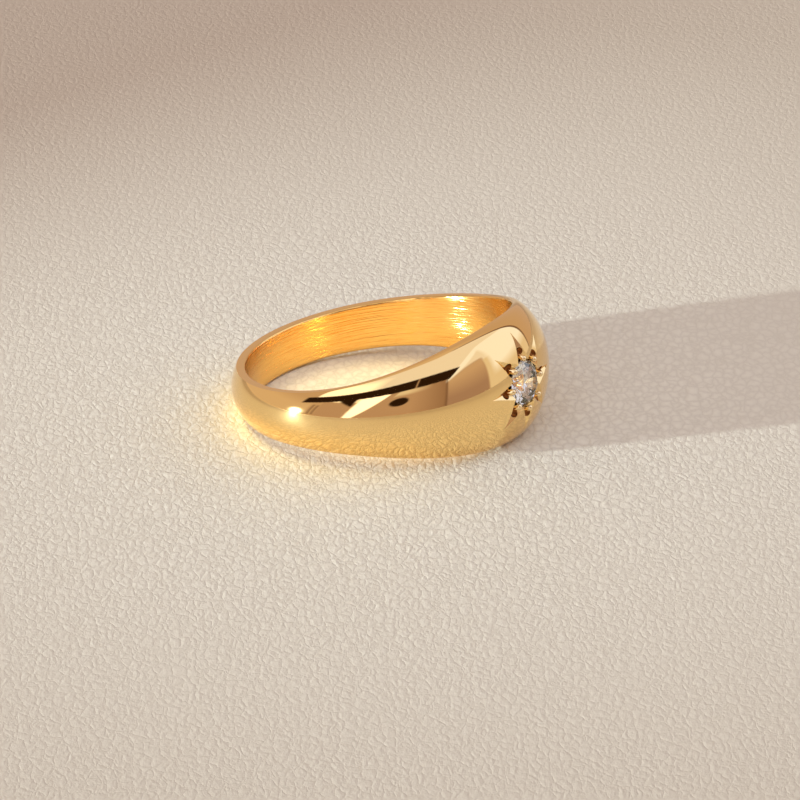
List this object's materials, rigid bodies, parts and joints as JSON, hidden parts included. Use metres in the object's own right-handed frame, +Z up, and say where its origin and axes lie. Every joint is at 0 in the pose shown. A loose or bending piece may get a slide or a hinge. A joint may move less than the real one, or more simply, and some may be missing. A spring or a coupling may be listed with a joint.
{
  "type": "flush set gypsy ring",
  "caption": "Tapered domed gold finger ring with a round brilliant sunk flush in its broad head, inside an engraved star.",
  "frame": {"origin": "middle of the bounding box on the surface that the ring lies on", "axes": "+Z up, the head faces -Y, and X = 0 is the mirror plane; the finger axis leans from +Z towards +Y by the taper, 8.0 degrees"},
  "size_m": [0.0196, 0.0208, 0.0079],
  "materials": {
    "gold": "mirror-polished warm yellow gold, fine brushed lines inside the finger hole",
    "diamond": "clear faceted brilliant, polished"
  },
  "bodies": {
    "root": {"band": "gold", "diamond": "diamond"}
  },
  "joints": []
}
